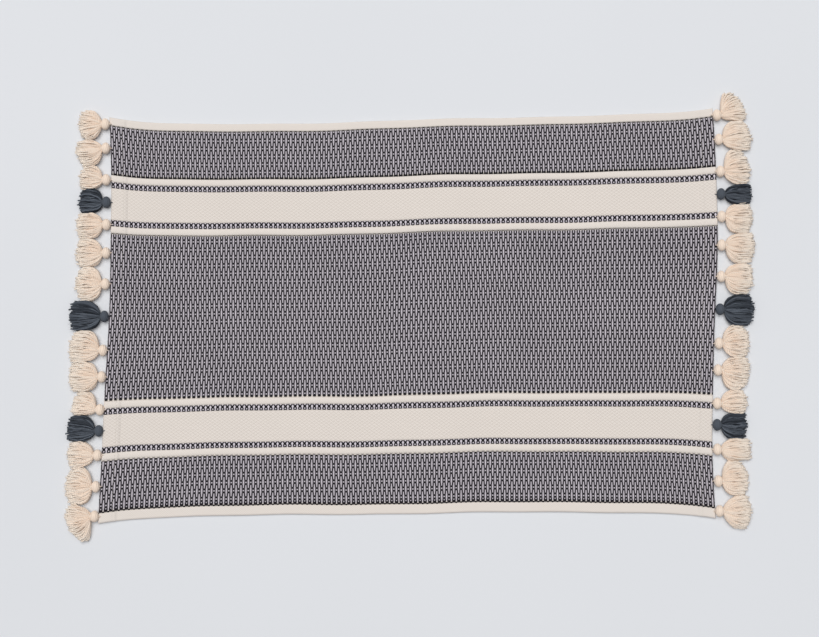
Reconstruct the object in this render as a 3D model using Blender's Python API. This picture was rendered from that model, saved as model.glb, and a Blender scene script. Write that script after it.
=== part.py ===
"""A flat-woven cotton bath mat with a fringe of ball-headed tassels, laid out flat on the floor.

The cloth is woven in fifteen bands, which run the length of the mat and change yarn or pattern
across it.  Each band is made as two strips that meet at the cross fold, where the mat folds in half.
Both ends of the cloth are turned under into a hem, and fifteen tassels hang from each hem.

Units are metres.  +X runs along the mat, +Y to its back edge and +Z up.  The floor is z = 0 and the
origin is the middle of the mat.  Positions on the cloth are given as u along it and v across it,
before the laid cloth's own slant and waist are added.
"""

import math

import bmesh
import bpy

# The cloth.
CLOTH_LENGTH = 0.905  # from hem edge to hem edge
BACK_BORDER_WIDTH = 0.0118
BACK_FIELD_WIDTH = 0.0745
CORD_WIDTH = 0.0101
BRAID_WIDTH = 0.0093
CREAM_WIDTH = 0.0471
MIDDLE_FIELD_WIDTH = 0.248
FRONT_FIELD_WIDTH = 0.077
FRONT_BORDER_WIDTH = 0.0145
BORDER_THICKNESS = 0.0040
FIELD_THICKNESS = 0.0045
CORD_THICKNESS = 0.0048
BRAID_THICKNESS = 0.0046
CREAM_THICKNESS = 0.0040
STRIP_GAP = 0.0003  # between neighbouring strips, and across the fold

# How the laid cloth departs from a rectangle.
WAIST = 0.0064  # how far each long edge draws in between the corners
WAIST_POWER = 5  # how late along the mat the waist ends
WAIST_LEAN = 0.57  # how much of the waist moves from the right half to the left
SWAY = 0.0015  # how far the middle line wanders from side to side
END_SLANT = 0.0105  # how far the back corners lie to the right of the front ones
LEFT_END_BOW = 0.0058  # how far the left end bows in
RIGHT_END_WAVE = 0.0042  # how far the right end waves out and in
CORNER_TUCK = 0.0020  # how far the right end's back corner is tucked in
LEFT_FLARE = 0.0032  # how far the left end's corners turn out
RIGHT_FLARE = 0.0062  # how far the right end's corners turn out
FLARE_POWER = 10  # how late along the mat the corners turn out

# The hems, where the ends are turned under.
HEM_DEPTH = 0.022
HEM_RISE = 0.0018  # how much thicker the turned-under cloth is
HEM_STEP = 0.005  # the length over which the cloth climbs on to the hem

# The fold across the middle.
FOLD_CLEARANCE = 0.0015  # from the top of the thickest band up to the fold's axis

# The tassels.
HEAD_DIAMETER = 0.0140
NECK_DIAMETER = 0.0072
SKIRT_THICKNESS = 0.0120
SKIRT_TIP_THICKNESS = 0.0080
SKIRT_LENGTH = 0.0375  # from the neck to the cut tips
LOOP_REACH = 0.0003  # from the hem's edge out to the tassel's hinge
HEAD_GAP = 0.0005  # from the hinge to the ball
SKIRT_GAP = 0.0014  # between neighbouring skirts
DARK_EVERY = 4  # every fourth tassel is dark

# Where the tassels are sewn along a hem, as shares of half the cloth's width, from back to front.
TASSEL_PLACES = (
    0.963, 0.843, 0.686, 0.575, 0.465, 0.324, 0.171, 0.012,
    -0.154, -0.284, -0.445, -0.548, -0.667, -0.819, -0.963,
)
# Where the tips of neighbouring skirts part, on the same scale: one more parting than tassels.
LEFT_PARTINGS = (
    1.05, 0.89, 0.765, 0.65, 0.53, 0.40, 0.26, 0.09,
    -0.055, -0.21, -0.36, -0.475, -0.605, -0.73, -0.915, -1.10,
)
RIGHT_PARTINGS = (
    1.10, 0.955, 0.81, 0.635, 0.535, 0.39, 0.24, 0.085,
    -0.07, -0.225, -0.39, -0.50, -0.63, -0.735, -0.905, -1.07,
)

# Each band from back to front: name, width, thickness, rounded on top or flat, and its yarn.
BANDS = (
    ("back_border", BACK_BORDER_WIDTH, BORDER_THICKNESS, False, "cream_border"),
    ("back_field", BACK_FIELD_WIDTH, FIELD_THICKNESS, False, "dark_field"),
    ("back_outer_cord", CORD_WIDTH, CORD_THICKNESS, True, "cream_cord"),
    ("back_outer_braid", BRAID_WIDTH, BRAID_THICKNESS, True, "dark_braid"),
    ("back_cream", CREAM_WIDTH, CREAM_THICKNESS, False, "cream_twill"),
    ("back_inner_braid", BRAID_WIDTH, BRAID_THICKNESS, True, "dark_braid"),
    ("back_inner_cord", CORD_WIDTH, CORD_THICKNESS, True, "cream_cord"),
    ("middle_field", MIDDLE_FIELD_WIDTH, FIELD_THICKNESS, False, "dark_field"),
    ("front_inner_cord", CORD_WIDTH, CORD_THICKNESS, True, "cream_cord"),
    ("front_inner_braid", BRAID_WIDTH, BRAID_THICKNESS, True, "dark_braid"),
    ("front_cream", CREAM_WIDTH, CREAM_THICKNESS, False, "cream_twill"),
    ("front_outer_braid", BRAID_WIDTH, BRAID_THICKNESS, True, "dark_braid"),
    ("front_outer_cord", CORD_WIDTH, CORD_THICKNESS, True, "cream_cord"),
    ("front_field", FRONT_FIELD_WIDTH, FIELD_THICKNESS, False, "dark_field"),
    ("front_border", FRONT_BORDER_WIDTH, BORDER_THICKNESS, False, "cream_border"),
)

# Each yarn's colour (linear red, green, blue) and roughness.
YARNS = {
    "cream_border": ((0.68, 0.63, 0.58), 0.92),
    "cream_twill": ((0.70, 0.65, 0.59), 0.92),
    "cream_cord": ((0.72, 0.67, 0.59), 0.90),
    "dark_field": ((0.17, 0.16, 0.18), 0.92),
    "dark_braid": ((0.10, 0.10, 0.12), 0.90),
    "cream_tassel": ((0.74, 0.60, 0.48), 0.95),
    "dark_tassel": ((0.052, 0.062, 0.080), 0.95),
}

LEFT = -1
RIGHT = 1
SIDE_NAMES = {LEFT: "left", RIGHT: "right"}
PARTINGS = {LEFT: LEFT_PARTINGS, RIGHT: RIGHT_PARTINGS}
STRIP_STATIONS = 6  # rings along the flat part of each strip
STRIP_STEP = 0.032  # the widest step across a flat strip, so that its end follows the hem's curve
TASSEL_SIDES = 8
HALF_LENGTH = CLOTH_LENGTH / 2
CLOTH_WIDTH = sum(width for _, width, _, _, _ in BANDS)
HALF_WIDTH = CLOTH_WIDTH / 2
FOLD_HEIGHT = max(thickness for _, _, thickness, _, _ in BANDS) + FOLD_CLEARANCE
HEAD_RADIUS = HEAD_DIAMETER / 2


def clear_scene():
    for old in list(bpy.data.objects):
        bpy.data.objects.remove(old, do_unlink=True)


def laid(u, v):
    """Where the point (u, v) of the cloth lies on the floor, as x and y."""
    along = u / HALF_LENGTH
    across = v / HALF_WIDTH
    left = max(-along, 0)
    right = max(along, 0)
    x = u + END_SLANT / 2 * across * along**2
    x += LEFT_END_BOW * left**2 * math.cos(math.pi * (across - 0.3) / 1.6)
    x += RIGHT_END_WAVE * right**2 * math.sin(math.pi * (across + 0.07))
    x -= CORNER_TUCK * right**8 * max(across, 0) ** 8
    drawn_in = WAIST / HALF_WIDTH * (1 - abs(along) ** WAIST_POWER) * (1 - WAIST_LEAN * along)
    y = v * (1 - drawn_in) + SWAY * math.sin(math.pi * along)
    y += across * (LEFT_FLARE * left**FLARE_POWER + RIGHT_FLARE * right**FLARE_POWER)
    return x, y


def cap(bm, loop):
    """Closes a ring with a row of faces between its two sides."""
    last = len(loop) - 1
    for i in range(len(loop) // 2 - 1):
        bm.faces.new((loop[i], loop[i + 1], loop[last - i - 1], loop[last - i]))


def loft(name, rings):
    """A closed mesh through rings with equal, even numbers of points."""
    bm = bmesh.new()
    loops = [[bm.verts.new(point) for point in ring] for ring in rings]
    for near, far in zip(loops, loops[1:]):
        for i in range(len(near)):
            j = (i + 1) % len(near)
            bm.faces.new((near[i], near[j], far[j], far[i]))
    cap(bm, loops[0])
    cap(bm, loops[-1])
    bmesh.ops.recalc_face_normals(bm, faces=bm.faces)
    mesh = bpy.data.meshes.new(name)
    bm.to_mesh(mesh)
    bm.free()
    return mesh


def yarn_material(node, yarn):
    colour, roughness = YARNS[yarn]
    material = bpy.data.materials.new(f"{node}_{yarn}")
    material.use_nodes = True
    shader = material.node_tree.nodes["Principled BSDF"]
    shader.inputs["Base Color"].default_value = (*colour, 1)
    shader.inputs["Roughness"].default_value = roughness
    shader.inputs["Metallic"].default_value = 0
    material.diffuse_color = (*colour, 1)
    return material


def place(name, mesh, yarn, parent, location=(0, 0, 0)):
    """Puts a mesh in the scene under its parent, at a location given in the parent's frame."""
    mesh.materials.append(yarn_material(name, yarn))
    node = bpy.data.objects.new(name, mesh)
    bpy.context.scene.collection.objects.link(node)
    node.parent = parent
    node.location = location
    return node


def joint_frame(name, height):
    """An empty on the mat's centre line that carries everything on one side of the fold."""
    frame = bpy.data.objects.new(name, None)
    bpy.context.scene.collection.objects.link(frame)
    frame.location = (0, 0, height)
    return frame


def strip_profile(width, rounded):
    """A strip's cross-section, as (distance across from its middle, share of its height)."""
    half = width / 2 - STRIP_GAP / 2
    if rounded:
        shoulder = half * 0.55
        top = [(-half, 0.7), (-shoulder, 1), (shoulder, 1), (half, 0.7)]
    else:
        steps = math.ceil(width / STRIP_STEP)
        top = [(half * (2 * i / steps - 1), 1) for i in range(steps + 1)]
    underside = [(across, 0) for across, _ in top]
    return underside + top[::-1]


def strip_stations():
    """Each ring of a strip from the fold out to the hem's edge, as (u, how much it rises)."""
    step_start = HALF_LENGTH - HEM_DEPTH - HEM_STEP
    flat = [
        STRIP_GAP / 2 + (step_start - STRIP_GAP / 2) * (i / (STRIP_STATIONS - 1)) ** 0.6
        for i in range(STRIP_STATIONS)
    ]
    hem = [(step_start + HEM_STEP, HEM_RISE), (HALF_LENGTH, HEM_RISE)]
    return [(u, 0) for u in flat] + hem


def build_strip(band, middle_v, side, parent):
    """One half of a band, from the fold to one hem."""
    name, width, thickness, rounded, yarn = band
    profile = strip_profile(width, rounded)
    rings = []
    for u, rise in strip_stations():
        ring = []
        for across, height in profile:
            x, y = laid(side * u, middle_v + across)
            ring.append((x, y, height * (thickness + rise) - parent.location.z))
        rings.append(ring)
    node_name = f"{SIDE_NAMES[side]}_{name}"
    return place(node_name, loft(node_name, rings), yarn, parent)


def tassel_sections(tip_shift, tip_half_width):
    """A tassel's cross-sections from its ball to its tips, in the frame of its hinge.

    Each is (distance out, sideways shift, half width, half thickness, height of its middle above
    the floor).
    """
    middle = HEAD_GAP + HEAD_RADIUS
    neck_radius = NECK_DIAMETER / 2
    neck_at = middle + math.sqrt(HEAD_RADIUS**2 - neck_radius**2)
    sections = []
    neck_turn = math.asin(neck_radius / HEAD_RADIUS)
    for turn in (0.14, 0.30, 0.52, 0.74):
        angle = math.pi * turn
        radius = HEAD_RADIUS * math.sin(angle)
        sections.append((middle - HEAD_RADIUS * math.cos(angle), 0, radius, radius, HEAD_RADIUS))
    neck_height = HEAD_RADIUS * (1 - neck_turn / math.pi)
    sections.append((neck_at, 0, neck_radius, neck_radius, neck_height))
    for share, thickness in ((0.28, SKIRT_THICKNESS), (0.68, SKIRT_THICKNESS), (1, SKIRT_TIP_THICKNESS)):
        spread = neck_radius + (tip_half_width - neck_radius) * math.sin(share * math.pi / 2)
        out = neck_at + SKIRT_LENGTH * share
        sections.append((out, tip_shift * share, spread, thickness / 2, thickness / 2))
    return sections


def build_tassel(number, side, parent):
    """One tassel, hung on its hinge at the hem's edge."""
    centre_v = TASSEL_PLACES[number] * HALF_WIDTH
    back_tip, front_tip = (share * HALF_WIDTH for share in PARTINGS[side][number : number + 2])
    edge_x, hinge_y = laid(side * HALF_LENGTH, centre_v)
    hinge = (edge_x + side * LOOP_REACH, hinge_y, HEAD_RADIUS - parent.location.z)
    tip_shift = (back_tip + front_tip) / 2 - hinge_y
    tip_half_width = (back_tip - front_tip - SKIRT_GAP) / 2
    rings = []
    for out, shift, half_width, half_height, height in tassel_sections(tip_shift, tip_half_width):
        ring = []
        for i in range(TASSEL_SIDES):
            angle = 2 * math.pi * i / TASSEL_SIDES
            y = shift + half_width * math.cos(angle)
            z = height - HEAD_RADIUS + half_height * math.sin(angle)
            ring.append((side * out, y, z))
        rings.append(ring)
    name = f"{SIDE_NAMES[side]}_tassel_{number + 1:02d}"
    mesh = loft(name, rings)
    mesh.shade_smooth()
    yarn = "dark_tassel" if number % DARK_EVERY == DARK_EVERY - 1 else "cream_tassel"
    return place(name, mesh, yarn, parent, hinge)


def build_half(side, parent):
    """Everything on one side of the fold."""
    back_edge = HALF_WIDTH
    for band in BANDS:
        width = band[1]
        build_strip(band, back_edge - width / 2, side, parent)
        back_edge -= width
    for number in range(len(TASSEL_PLACES)):
        build_tassel(number, side, parent)


def build_mat():
    clear_scene()
    build_half(LEFT, joint_frame("mat_frame", 0))
    build_half(RIGHT, joint_frame("fold_axis", FOLD_HEIGHT))


build_mat()
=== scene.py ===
"""The visual model of a flat-woven cotton bath mat with ball-headed tassels, on a pale floor.

The cloth is fifteen woven bands, each a closed slab from hem to hem (the middle field is three) with
its weave in relief.  Lengths are metres unless a name ends in _MM or _mm.  On the cloth, u runs along
the mat and v across it, and a weave position is (column, millimetres from the band's front edge).
"""

import functools
import math

import bpy
import numpy as np
from mathutils import Matrix, Vector


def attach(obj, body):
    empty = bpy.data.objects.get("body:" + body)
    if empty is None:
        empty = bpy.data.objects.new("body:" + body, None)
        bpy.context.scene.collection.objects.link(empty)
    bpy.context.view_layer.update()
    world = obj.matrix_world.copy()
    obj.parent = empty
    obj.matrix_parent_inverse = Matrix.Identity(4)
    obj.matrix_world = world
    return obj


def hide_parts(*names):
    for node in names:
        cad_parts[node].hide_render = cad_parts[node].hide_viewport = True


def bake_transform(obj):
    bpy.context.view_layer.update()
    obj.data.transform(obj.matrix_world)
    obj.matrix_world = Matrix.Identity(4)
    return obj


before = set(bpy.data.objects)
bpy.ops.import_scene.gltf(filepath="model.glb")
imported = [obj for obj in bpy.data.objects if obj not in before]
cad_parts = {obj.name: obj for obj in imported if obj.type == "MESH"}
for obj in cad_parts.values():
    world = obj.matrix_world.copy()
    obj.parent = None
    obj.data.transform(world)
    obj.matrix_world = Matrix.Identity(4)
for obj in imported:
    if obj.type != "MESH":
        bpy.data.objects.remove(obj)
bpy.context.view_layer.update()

MM = 0.001

# The cloth, as in the CAD source.
CLOTH_LENGTH = 0.905
CORD_WIDTH = 0.0101
BRAID_WIDTH = 0.0093
CREAM_WIDTH = 0.0471
WAIST = 0.0064
WAIST_POWER = 5
WAIST_LEAN = 0.57
SWAY = 0.0015
END_SLANT = 0.0105
LEFT_END_BOW = 0.0058
RIGHT_END_WAVE = 0.0042
CORNER_TUCK = 0.0020
LEFT_FLARE = 0.0032
RIGHT_FLARE = 0.0062
FLARE_POWER = 10
HEM_DEPTH = 0.022
HEM_RISE = 0.0018
HEM_STEP = 0.005


def cream_group(place, first, last):
    """The wide cream band between its two braids and cords."""
    return (
        (f"{place}_{first}_cord", CORD_WIDTH, "cord", 1),
        (f"{place}_{first}_braid", BRAID_WIDTH, "braid", 1),
        (f"{place}_cream", CREAM_WIDTH, "twill", 1),
        (f"{place}_{last}_braid", BRAID_WIDTH, "braid", 1),
        (f"{place}_{last}_cord", CORD_WIDTH, "cord", 1),
    )


# Each band from back to front: name, width, weave and how many pieces it is built as.
BANDS = (
    ("back_border", 0.0118, "plain", 1),
    ("back_field", 0.0745, "field", 1),
    *cream_group("back", "outer", "inner"),
    ("middle_field", 0.248, "field", 3),
    *cream_group("front", "inner", "outer"),
    ("front_field", 0.077, "field", 1),
    ("front_border", 0.0145, "plain", 1),
)

# The tassels, as in the CAD source.
HEAD_RADIUS = 0.0070
NECK_RADIUS = 0.0036
LOOP_REACH = 0.0003
HEAD_GAP = 0.0005
DARK_EVERY = 4
TASSEL_PLACES = (
    0.963, 0.843, 0.686, 0.575, 0.465, 0.324, 0.171, 0.012,
    -0.154, -0.284, -0.445, -0.548, -0.667, -0.819, -0.963,
)
LEFT = -1
RIGHT = 1
SIDE_NAMES = {LEFT: "left", RIGHT: "right"}
PARTINGS = {
    LEFT: (
        1.05, 0.89, 0.765, 0.65, 0.53, 0.40, 0.26, 0.09,
        -0.055, -0.21, -0.36, -0.475, -0.605, -0.73, -0.915, -1.10,
    ),
    RIGHT: (
        1.10, 0.955, 0.81, 0.635, 0.535, 0.39, 0.24, 0.085,
        -0.07, -0.225, -0.39, -0.50, -0.63, -0.735, -0.905, -1.07,
    ),
}
HALF_LENGTH = CLOTH_LENGTH / 2
CLOTH_WIDTH = sum(band[1] for band in BANDS)
HALF_WIDTH = CLOTH_WIDTH / 2

# The weave.
COLUMNS = 255
COLUMN_PITCH = CLOTH_LENGTH / COLUMNS
COLUMN_MM = COLUMN_PITCH / MM
COLUMN_STEPS = 4
ROW_STEP = 0.00122
ROW_MM = 12.25
UNDERSIDE = 1000  # added to the column number on the underside

# The slab's cross-section.
VALLEY = 0.0036  # the cloth's height where two bands meet
VALLEY_REACH = 0.0022
CORD_FULLNESS = 0.6  # below 1 a cord or a braid is flatter on top than half a circle
UNDER_VALLEY = 0.0005
UNDER_VALLEY_REACH = 0.0016
UNDER_HEM_STEP = 0.0017
UNDER_HEM_REACH = 0.0042
UNDER_RELIEF = 0.35  # the underside's relief as a share of the top's
SELVEDGE_ROUND = 0.0022
NOSE_ROUND = 0.0032
BLUNT_EDGE = 0.12  # the share of its thickness that the slab keeps at its very edge

# The texture layout of a slab: strips of the band, stacked one above another.
STRIP_INSET = 0.01
STRIP_SPACE = 2.15
STRIP_START = 0.004
STRIP_GAP = 0.006
WALL_DROP = 0.0015

# The texture layout of tubes: one cell of a square grid for each.
CELL_MARGIN = 0.06
CAP_PLACE = 0.25
CAP_SPREAD = 0.02
STRAND_SHIFT_MM = 100.0  # added to the millimetres along for each strand's number


def smooth(t):
    """A smooth step from 0 to 1."""
    t = np.clip(t, 0, 1)
    return t * t * (3 - 2 * t)


def laid(u, v):
    """Where the point (u, v) of the cloth lies on the floor: the CAD source's formula."""
    along = u / HALF_LENGTH
    across = v / HALF_WIDTH
    left = np.maximum(-along, 0)
    right = np.maximum(along, 0)
    x = u + END_SLANT / 2 * across * along**2
    x = x + LEFT_END_BOW * left**2 * np.cos(math.pi * (across - 0.3) / 1.6)
    x = x + RIGHT_END_WAVE * right**2 * np.sin(math.pi * (across + 0.07))
    x = x - CORNER_TUCK * right**8 * np.maximum(across, 0) ** 8
    drawn_in = WAIST / HALF_WIDTH * (1 - np.abs(along) ** WAIST_POWER) * (1 - WAIST_LEAN * along)
    y = v * (1 - drawn_in) + SWAY * np.sin(math.pi * along)
    y = y + across * (LEFT_FLARE * left**FLARE_POWER + RIGHT_FLARE * right**FLARE_POWER)
    return x, y


def wandered(u, v):
    """The laid cloth with the small sideways wander of hand-smoothed fabric."""
    x, y = laid(u, v)
    loose = 1 - np.abs(u / HALF_LENGTH) ** 4
    x = x + 0.0006 * np.sin(9 * v + 4 * np.sin(7 * u)) + 0.0004 * np.sin(31 * v + 11 * u)
    y = y + loose * (0.0007 * np.sin(19 * u + 3 * v) + 0.0004 * np.sin(47 * u - 9 * v + 1))
    return x, y


def swell(u, v):
    """How far the cloth stands off the floor, from 0 to about 1 mm."""
    waves = np.sin(8.5 * u + 5 * v + 0.6) + 0.7 * np.sin(-13 * u + 11 * v + 2)
    waves = waves + 0.5 * np.sin(24 * u + 1.1)
    return 0.00024 * (waves + 2.2)


def hem_rise(u):
    return HEM_RISE * smooth((np.abs(u) - (HALF_LENGTH - HEM_DEPTH - HEM_STEP)) / HEM_STEP)


# ---- meshes


def make_mesh(name, points, groups, maps):
    """A smooth-shaded mesh.

    groups is a list of face arrays, each with one row of corners per face.  maps gives, for each UV
    map's name, a list of arrays that match the groups, with u and v for every corner.
    """
    mesh = bpy.data.meshes.new(name)
    corners = np.concatenate([group.ravel() for group in groups])
    sizes = np.concatenate([np.full(len(group), group.shape[1]) for group in groups])
    starts = np.concatenate(([0], np.cumsum(sizes)[:-1]))
    mesh.vertices.add(len(points))
    mesh.vertices.foreach_set("co", np.ascontiguousarray(points, np.float32).ravel())
    mesh.loops.add(len(corners))
    mesh.loops.foreach_set("vertex_index", corners.astype(np.int32))
    mesh.polygons.add(len(sizes))
    mesh.polygons.foreach_set("loop_start", starts.astype(np.int32))
    mesh.update(calc_edges=True)
    mesh.shade_smooth()
    for map_name, arrays in maps.items():
        layer = mesh.uv_layers.new(name=map_name)
        values = np.concatenate([np.asarray(array, np.float32).reshape(-1, 2) for array in arrays])
        layer.data.foreach_set("uv", values.ravel())
    return mesh


def new_object(name, data):
    made = bpy.data.objects.new(name, data)
    bpy.context.scene.collection.objects.link(made)
    return made


def add_piece(name, mesh, material, slot):
    mesh.materials.append(material)
    piece = new_object(name, mesh)
    return piece


def quads_of(grid):
    """The faces of a grid of vertex numbers, facing along (first axis) x (second axis)."""
    corners = [grid[:-1, :-1], grid[1:, :-1], grid[1:, 1:], grid[:-1, 1:]]
    return np.stack(corners, axis=-1).reshape(-1, 4)


def tube_rings(paths, sides):
    """The unit steps from each point of each path to the corners of its ring."""
    tangent = np.gradient(paths, axis=1)
    tangent /= np.linalg.norm(tangent, axis=2, keepdims=True)
    helper = np.where(np.abs(tangent[..., 2:3]) < 0.9, (0.0, 0.0, 1.0), (0.0, 1.0, 0.0))
    across = np.cross(tangent, helper)
    across /= np.linalg.norm(across, axis=2, keepdims=True)
    upward = np.cross(across, tangent)
    angle = 2 * math.pi * np.arange(sides) / sides
    return across[:, :, None] * np.cos(angle)[:, None] + upward[:, :, None] * np.sin(angle)[:, None]


def tube_faces(count, steps, sides):
    """The walls and the two end caps of the tubes, as three face groups."""
    number = np.arange(count * steps * sides).reshape(count, steps, sides)
    turned = np.roll(number, -1, axis=2)
    walls = [number[:, :-1], turned[:, :-1], turned[:, 1:], number[:, 1:]]
    return [np.stack(walls, axis=-1).reshape(-1, 4), number[:, 0, ::-1], number[:, -1]]


def tube_corners(paths, sides):
    """The tube, the millimetres along and the share round of each face corner, by face group."""
    count, steps = paths.shape[:2]
    lengths = np.linalg.norm(np.diff(paths, axis=1), axis=2)
    along = np.concatenate([np.zeros((count, 1)), np.cumsum(lengths, axis=1)], axis=1) / MM
    along_grid = np.repeat(along[:, :, None], sides, axis=2)
    near = along_grid[:, :-1]
    far = along_grid[:, 1:]
    along_walls = np.stack([near, near, far, far], axis=-1).reshape(-1, 4)
    first = np.broadcast_to(np.arange(sides) / sides, near.shape)
    second = first + 1 / sides
    round_walls = np.stack([first, second, second, first], axis=-1).reshape(-1, 4)
    tube_walls = np.repeat(np.arange(count), (steps - 1) * sides)[:, None] * np.ones(4)
    corners = [(tube_walls, along_walls, round_walls)]
    angle = 2 * math.pi * np.arange(sides) / sides
    cap_tube = np.arange(count)[:, None] * np.ones(sides)
    cap_round = CAP_PLACE + CAP_SPREAD * np.cos(angle) * np.ones((count, 1))
    for end in (along[:, :1], along[:, -1:]):
        corners.append((cap_tube, end * np.ones(sides), cap_round))
    return corners


def tubes(paths, radii, sides):
    """Closed tubes round many paths at once: their points, face groups and face corners.

    paths is (tubes, points, 3) and radii (tubes, points).
    """
    count, steps = radii.shape
    ring = tube_rings(paths, sides)
    points = (paths[:, :, None] + ring * radii[:, :, None, None]).reshape(-1, 3)
    return points, tube_faces(count, steps, sides), tube_corners(paths, sides)


# ---- the weaves in relief


def ping_pong(value):
    """0 at even whole numbers and 1 at odd ones."""
    return 1 - np.abs(value % 2 - 1)


LINE_SWING = 0.03  # how far the dark yarns swing, in columns
LOOP_INSET_MM = 0.7
LOOP_MM = 2.8
BACK_LOOP_MM = 1.7
DOT_OFFSET_MM = 2.45
DOT_STRETCH = 1.02
DOT_HOLLOW_MM = 1.1
DOT_DEPTH_MM = 0.45
FLOAT_RISE_MM = 0.55
FLOAT_SINK_MM = 0.35

# Each field by its width in millimetres: where its first row of dots lies from its front edge, the
# columns that close in loops at its front and back edges (0 even, 1 odd), how bold the front loops are,
# and where a single row of dots lies below the first (off the cloth where there is none).
FIELD_PLANS = {
    74.5: (10.2, 0, 1, 1.0, -9.0),
    248.0: (5.7, 1, 0, -0.3, -9.0),
    77.0: (10.7, 1, 1, -0.3, 3.5),
}


def field_plan(width_mm):
    return FIELD_PLANS[round(width_mm, 1)]


def field_outline(column, row_mm, width_mm):
    """0 in the middle of a closing column, 1 on the dark yarn beside it and more beyond.

    The second value is the distance from that column's middle, in columns.
    """
    phase, front_flip, back_flip, _, _ = field_plan(width_mm)
    half_span = 0.5 - LINE_SWING * np.cos(math.pi * (row_mm - phase) / ROW_MM)
    flip = np.where(row_mm > width_mm / 2, back_flip, front_flip)
    edge = np.minimum(row_mm, width_mm - row_mm) - LOOP_INSET_MM
    loop = np.where(row_mm > width_mm / 2, BACK_LOOP_MM, LOOP_MM)
    closing = 1 - np.clip(edge / loop, None, 1)
    own_place = np.abs(ping_pong(column) - flip)
    return np.hypot(own_place / np.abs(half_span - flip), closing), own_place


def field_relief(column, row_mm, width_mm):
    """The height of the light floats over the dark yarns, in millimetres."""
    phase = field_plan(width_mm)[0]
    place = ping_pong(column)
    outline, own_place = field_outline(column, row_mm, width_mm)
    reach = np.where(outline < 1, outline, np.clip((1 - own_place) * 2, 0, 1))
    floats = FLOAT_RISE_MM * np.sqrt(np.clip(1 - reach**2, 0, 1)) - FLOAT_SINK_MM
    from_even_row = ROW_MM * ping_pong((row_mm - phase) / ROW_MM)
    odd_dot = np.hypot((1 - place) * COLUMN_MM / DOT_STRETCH, from_even_row - DOT_OFFSET_MM)
    even_dot = np.hypot(place * COLUMN_MM / DOT_STRETCH, ROW_MM - from_even_row - DOT_OFFSET_MM)
    dot = np.minimum(odd_dot, even_dot)
    return floats - DOT_DEPTH_MM * np.exp(-((dot / DOT_HOLLOW_MM) ** 2))


CROSSING_MM = 5.5  # the crossing's height above the braid's front edge
ARM_LEAN = (0.785, 0.62)  # the slope of the arms that rise from a crossing
RING_MM = (1.9, 2.25)  # half the width and height of the ring below a crossing
RING_AT_MM = 2.65
ARM_START_MM = 0.8  # how far below the crossing the arms begin
RIDGE_MM = 0.8
FAR_MM = 9
TWILL_ROW_MM = 4.9
CORD_ROW_MM = 5.2
PLAIN_ROW_MM = 3.1


def braid_relief(column, row_mm, width_mm):
    aside = np.abs((column / 2) % 1 - 0.5) * 2 * COLUMN_MM
    arm = np.abs(ARM_LEAN[0] * aside - ARM_LEAN[1] * (row_mm - CROSSING_MM))
    arm = np.where(row_mm > CROSSING_MM - ARM_START_MM, arm, FAR_MM)
    ring = np.abs(np.hypot(aside / RING_MM[0], (row_mm - RING_AT_MM) / RING_MM[1]) - 1) * RING_MM[0]
    ridge = np.exp(-((np.minimum(arm, ring) / RIDGE_MM) ** 2))
    return 0.35 * ridge - 0.1


def twill_relief(column, row_mm, width_mm):
    crossing = np.cos(math.pi * column) * np.cos(2 * math.pi * row_mm / TWILL_ROW_MM)
    return 0.22 * crossing + 0.08 * np.cos(2 * math.pi * column)


def cord_relief(column, row_mm, width_mm):
    return 0.14 * np.cos(2 * math.pi * (column + row_mm / CORD_ROW_MM))


def plain_relief(column, row_mm, width_mm):
    return 0.10 * np.cos(2 * math.pi * column) * np.cos(2 * math.pi * row_mm / PLAIN_ROW_MM)


# Each weave: its thickness, its material slot and its relief.
WEAVES = {
    "plain": (0.0040, "cream_border", plain_relief),
    "field": (0.0045, "dark_field", field_relief),
    "cord": (0.0048, "cream_cord", cord_relief),
    "braid": (0.0046, "dark_braid", braid_relief),
    "twill": (0.0040, "cream_twill", twill_relief),
}


# ---- the cloth


def crown(row, band):
    """A band's smooth height across it, from the valley at each edge to its full thickness."""
    _, width, weave, _ = band
    thickness = WEAVES[weave][0]
    edge = np.minimum(row, width - row)
    if weave in ("cord", "braid"):
        share = np.sin(math.pi / 2 * np.clip(edge / (width / 2), 0, 1)) ** CORD_FULLNESS
    else:
        share = smooth(edge / VALLEY_REACH)
    return VALLEY + (thickness - VALLEY) * share


def rounding(distance, radius):
    """The share of its height that a slab keeps at a distance in from a rounded edge."""
    inside = 1 - np.clip(distance / radius, 0, 1)
    return BLUNT_EDGE + (1 - BLUNT_EDGE) * np.sqrt(1 - inside**2)


def edge_share(u, v):
    """The share of its thickness that the slab keeps towards the mat's ends and sides."""
    ends = rounding(HALF_LENGTH - np.abs(u), NOSE_ROUND)
    sides = rounding(HALF_WIDTH - np.abs(v), SELVEDGE_ROUND)
    return np.minimum(ends, sides)


def cloth_top(u, v, band, front_edge):
    """The smooth top of a band, without its weave."""
    return crown(v - front_edge, band) + hem_rise(u)


def cloth_bottom(u, v, band, front_edge):
    """The smooth underside: a groove beside each band's edge and along the turned-under hem."""
    width = band[1]
    edge = np.minimum(v - front_edge, front_edge + width - v)
    groove = UNDER_VALLEY * (1 - smooth(edge / UNDER_VALLEY_REACH))
    past_hem = HALF_LENGTH - HEM_DEPTH - np.abs(u)
    hem = np.where(past_hem > 0, UNDER_HEM_STEP * (1 - smooth(past_hem / UNDER_HEM_REACH)), 0)
    return groove + hem


def slab_grid(low, high):
    """The weave positions over a band's top: column numbers and distances from its front edge."""
    steps_u = COLUMNS * COLUMN_STEPS
    steps_v = 2 * max(4, round((high - low) / ROW_STEP / 2))
    column = np.linspace(0, COLUMNS, steps_u + 1)[:, None] * np.ones(steps_v + 1)
    row = np.ones((steps_u + 1, 1)) * np.linspace(low, high, steps_v + 1)
    return column, row


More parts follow.
